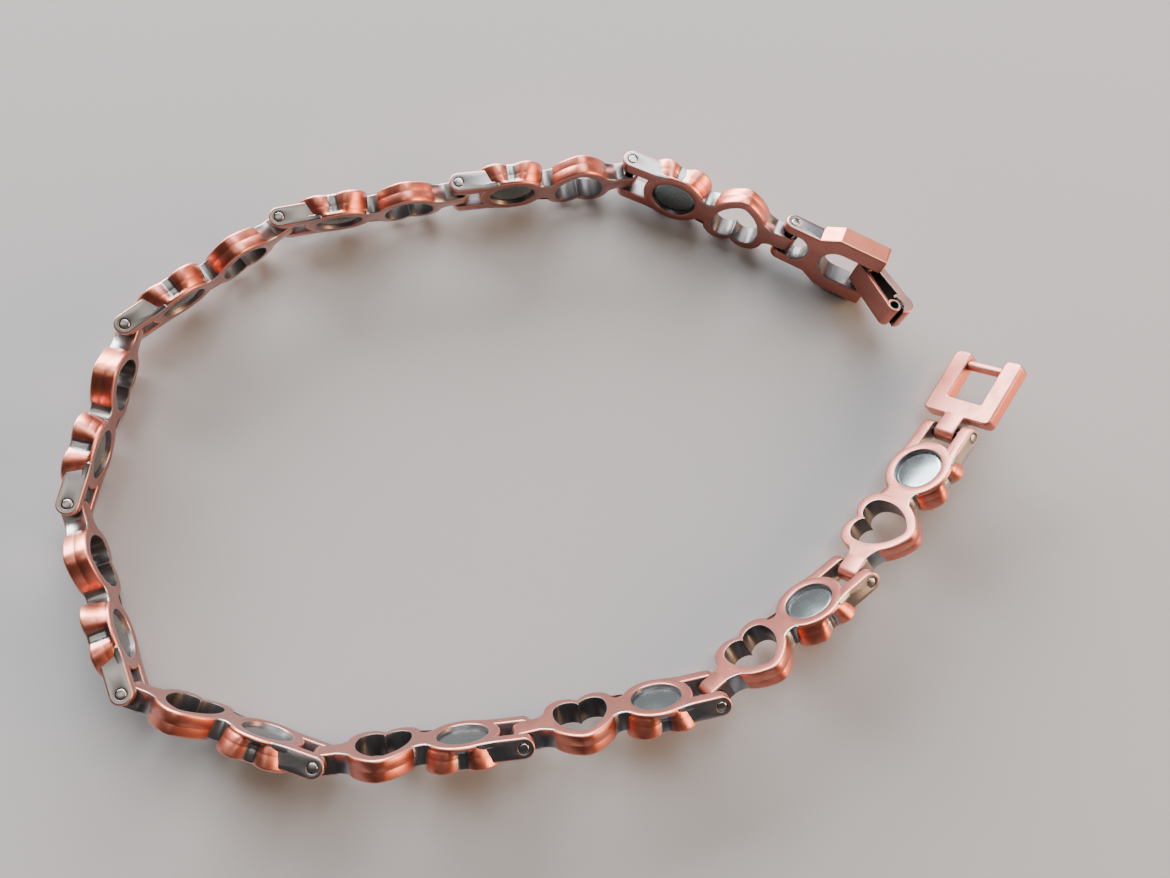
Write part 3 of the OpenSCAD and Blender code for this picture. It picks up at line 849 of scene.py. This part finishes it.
def lever_mesh(material):
    """The folded strip, plain outside, with painted near-black shade inside the fold and in its bores."""
    casting = Casting()
    plate_z = KNUCKLE_R - PLATE_T
    curl = np.array([CURL_X, KNUCKLE_R - CURL_R])
    hook_z = plate_z - HOOK_GAP

    # Each form is trimmed by a little more or less than its neighbours, so that no two sides coincide.
    def folded(line, inner, top, trim=0.0, **more):
        half = LEVER_HALF - trim
        # Inner sides get the painted near-black shade.
        plate(casting, line, -half, half, 0.12, "y", side=np.where(inner, HOLLOW_SHADE, 0.0), top=top, **more)

    knuckle = circle_line((0, 0), KNUCKLE_R)
    folded(knuckle, knuckle[:, 0] > 0.3, 0.5, 0.004, hole=circle_line((0, 0), KNUCKLE_BORE), bore=HOLLOW_SHADE)
    rolled = circle_line(curl, CURL_R)
    bright = np.where(rolled[:, 0] > curl[0] - 0.2, 0.9, 0.3)
    folded(rolled, rolled[:, 1] < curl[1] - 0.1, bright, hole=circle_line(curl, EYE_R), bore=HOLLOW_SHADE)
    strip = rounded([
        (LIP_X, KNUCKLE_R - LIP_T), (0.3, KNUCKLE_R - LIP_T), (0.5, plate_z), (CURL_X - 0.4, plate_z),
        (CURL_X - 0.15, plate_z + 0.13), (CURL_X, plate_z + 0.16), (CURL_X, KNUCKLE_R - 0.002),
        (LIP_X, KNUCKLE_R - 0.002)], 0.22)
    folded(strip, strip[:, 1] < plate_z + 0.05, 0.2, 0.008)
    leg = rounded([
        (-0.37, 0), (-0.37, hook_z + LEG_RISE - HOOK_T), (HOOK_X, hook_z - HOOK_T + 0.08), (HOOK_X, hook_z),
        (0.37, hook_z + LEG_RISE), (0.37, 0)], 0.2)
    middle = hook_z - HOOK_T / 3 + LEG_RISE * (1 - leg[:, 0] / HOOK_X)
    folded(leg, (leg[:, 1] > middle) & (leg[:, 0] > 0), 0.5, 0.012)
    end = np.array([HOOK_X, hook_z - HOOK_T + HOOK_END_R])
    way = circle_of_ways(AROUND)
    off = curl - end
    along = way @ off
    inside = along**2 - off @ off + (CURL_R + SNAP_GAP) ** 2
    stop = along - np.sqrt(np.maximum(inside, 0))
    shut = (inside > 0) & (along > 0) & (stop < HOOK_END_R)
    reach = np.where(shut, stop, HOOK_END_R)
    folded(end + reach[:, None] * way, shut, 0.55)
    return casting.mesh("lever", material)


lever_place = CLASP_LAID @ Matrix.Translation((PIVOT_X * MM, 0, PIVOT_Z * MM)) @ Matrix.Rotation(
    math.radians(-LEVER_OPEN), 4, "Y")
shown("folding_lever", lever_mesh(copper), lever_place, "lever", "aged_copper", "clasp_lever")
